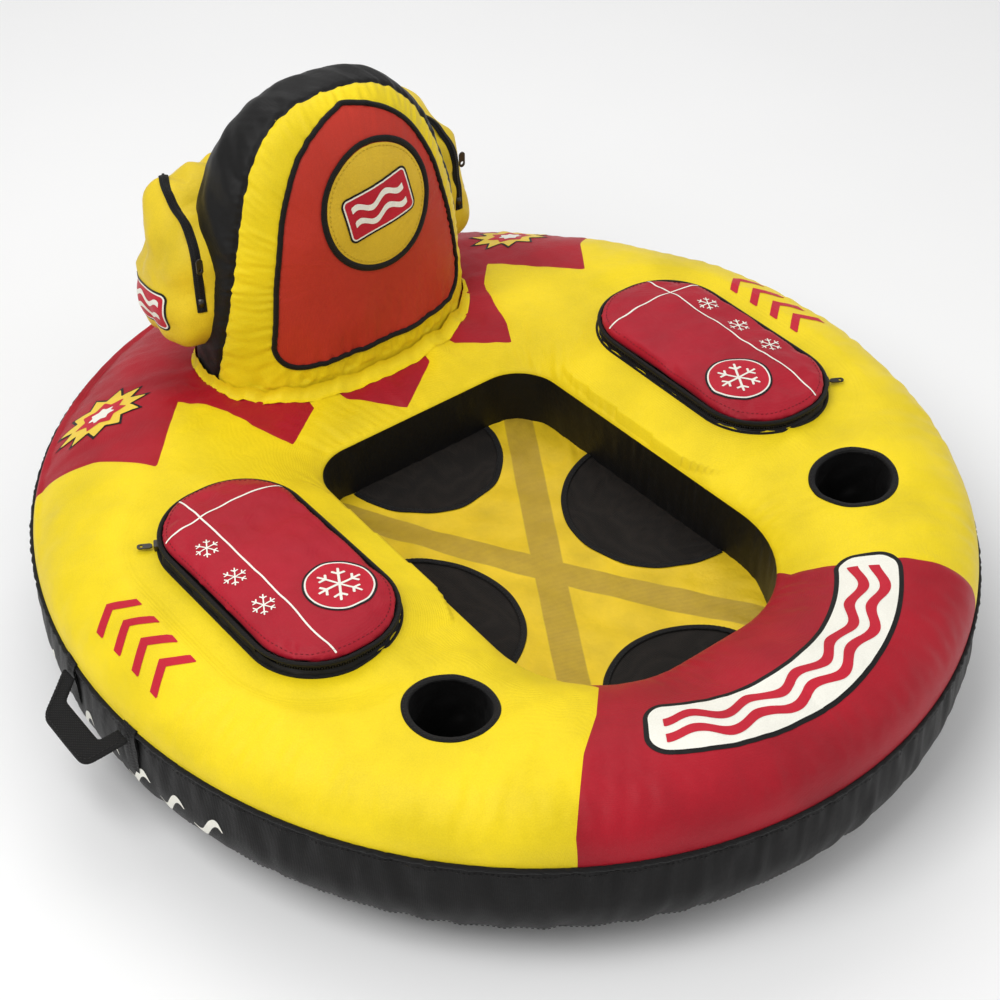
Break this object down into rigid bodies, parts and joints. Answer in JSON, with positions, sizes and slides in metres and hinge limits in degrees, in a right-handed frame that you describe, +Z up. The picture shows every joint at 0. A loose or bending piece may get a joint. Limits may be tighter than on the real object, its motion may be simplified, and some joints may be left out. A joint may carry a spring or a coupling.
{
  "type": "towable tube",
  "caption": "Inflatable water tube with a raised backrest, strapped mesh-disc seat floor, cup holders, zip-lid cooler lockers, side pockets and webbing handles.",
  "frame": {"origin": "on the floor, under the middle of the tube's plan", "axes": "+Z up; -Y towards the foot end (red front panel); +Y towards the backrest; +X to the sitter's left"},
  "size_m": [1.2278, 1.2038, 0.59],
  "materials": {
    "nylon_yellow": "satin woven nylon",
    "nylon_red": "satin woven nylon",
    "nylon_orange": "matt woven nylon",
    "nylon_black": "satin woven nylon",
    "floor_fabric": "matt woven nylon",
    "floor_mesh": "open knit mesh",
    "webbing_black": "matt webbing",
    "webbing_khaki": "matt webbing",
    "liner_foam": "coated foam",
    "bladder_pvc": "glossy vinyl",
    "valve_plastic": "moulded",
    "zip_metal": "black nickel"
  },
  "bodies": {
    "tube": {"top_cover": "nylon_yellow", "front_panel": "nylon_red", "rear_panel_left": "nylon_red", "rear_panel_right": "nylon_red", "rear_panel_center": "nylon_red", "side_band": "nylon_black", "bottom_cover": "nylon_black", "inner_wall": "nylon_black", "seam_piping": "nylon_black", "tube_bladder": "bladder_pvc", "backrest_bladder": "bladder_pvc", "tube_valve_body": "valve_plastic", "backrest_valve_body": "valve_plastic", "seat_floor": "floor_fabric", "mesh_disc_front": "floor_mesh", "mesh_binding_front": "webbing_black", "mesh_disc_rear": "floor_mesh", "mesh_binding_rear": "webbing_black", "mesh_disc_left": "floor_mesh", "mesh_binding_left": "webbing_black", "mesh_disc_right": "floor_mesh", "mesh_binding_right": "webbing_black", "floor_strap_upper": "webbing_khaki", "floor_strap_lower": "webbing_khaki", "cup_liner_left": "floor_mesh", "cup_rim_left": "webbing_black", "locker_liner_left": "liner_foam", "locker_base_tape_left": "webbing_black", "handle_anchor_left": "webbing_black", "pocket_bag_left": "nylon_yellow", "pocket_zipper_left": "webbing_black", "cup_liner_right": "floor_mesh", "cup_rim_right": "webbing_black", "locker_liner_right": "liner_foam", "locker_base_tape_right": "webbing_black", "handle_anchor_right": "webbing_black", "pocket_bag_right": "nylon_yellow", "pocket_zipper_right": "webbing_black", "backrest_gusset": "nylon_black", "backrest_back": "nylon_black", "backrest_rim": "nylon_yellow", "backrest_collar": "nylon_yellow", "backrest_badge": "nylon_yellow", "backrest_face": "nylon_orange", "backrest_piping": "webbing_black", "backrest_badge_ring": "webbing_black"},
    "lid_left": {"locker_lid_left": "nylon_red", "locker_lid_tape_left": "webbing_black"},
    "slider_left": {"locker_slider_left": "zip_metal"},
    "pull_left": {"locker_pull_left": "zip_metal"},
    "handle_left": {"handle_left": "webbing_black"},
    "pocket_pull_left": {"pocket_pull_left": "zip_metal"},
    "lid_right": {"locker_lid_right": "nylon_red", "locker_lid_tape_right": "webbing_black"},
    "slider_right": {"locker_slider_right": "zip_metal"},
    "pull_right": {"locker_pull_right": "zip_metal"},
    "handle_right": {"handle_right": "webbing_black"},
    "pocket_pull_right": {"pocket_pull_right": "zip_metal"},
    "tube_valve_cap": {"tube_valve_cap": "valve_plastic"},
    "backrest_valve_cap": {"backrest_valve_cap": "valve_plastic"}
  },
  "joints": [
    {"name": "locker_lid_hinge_left", "type": "hinge", "parent": "tube", "child": "lid_left", "pos_m": [-0.421, -0.015, 0.25], "axis": [0, -1, 0], "range_deg": [0, 150]},
    {"name": "locker_lid_hinge_right", "type": "hinge", "parent": "tube", "child": "lid_right", "pos_m": [0.421, -0.015, 0.25], "axis": [0, 1, 0], "range_deg": [0, 150]},
    {"name": "locker_slider_travel_left", "type": "hinge", "parent": "tube", "child": "slider_left", "pos_m": [-0.341, 0.0725, 0.241], "axis": [0, 0, -1], "range_deg": [0, 55]},
    {"name": "locker_pull_flip_left", "type": "hinge", "parent": "slider_left", "child": "pull_left", "pos_m": [-0.41851, 0.11725, 0.2413], "axis": [0.5, 0.866, 0], "range_deg": [0, 60]},
    {"name": "locker_slider_travel_right", "type": "hinge", "parent": "tube", "child": "slider_right", "pos_m": [0.341, -0.1025, 0.241], "axis": [0, 0, -1], "range_deg": [0, 55]},
    {"name": "locker_pull_flip_right", "type": "hinge", "parent": "slider_right", "child": "pull_right", "pos_m": [0.41851, -0.14725, 0.2413], "axis": [-0.5, -0.866, 0], "range_deg": [0, 60]},
    {"name": "handle_swing_left", "type": "hinge", "parent": "tube", "child": "handle_left", "pos_m": [-0.565, 0.011, 0.162], "axis": [0, 1, 0], "range_deg": [-45, 95]},
    {"name": "handle_swing_right", "type": "hinge", "parent": "tube", "child": "handle_right", "pos_m": [0.565, 0.011, 0.162], "axis": [0, -1, 0], "range_deg": [-45, 95]},
    {"name": "tube_valve_cap_hinge", "type": "hinge", "parent": "tube", "child": "tube_valve_cap", "pos_m": [0.28189, 0.52268, 0.134], "axis": [0.8504, -0.5261, 0], "range_deg": [0, 140]},
    {"name": "backrest_valve_cap_hinge", "type": "hinge", "parent": "tube", "child": "backrest_valve_cap", "pos_m": [0.07, 0.4686, 0.312], "axis": [1, 0, 0], "range_deg": [0, 140]},
    {"name": "pocket_pull_flip_left", "type": "hinge", "parent": "tube", "child": "pocket_pull_left", "pos_m": [-0.2, 0.3312, 0.432], "axis": [-1, 0, 0], "range_deg": [0, 120]},
    {"name": "pocket_pull_flip_right", "type": "hinge", "parent": "tube", "child": "pocket_pull_right", "pos_m": [0.2, 0.3312, 0.432], "axis": [-1, 0, 0], "range_deg": [0, 120]}
  ]
}
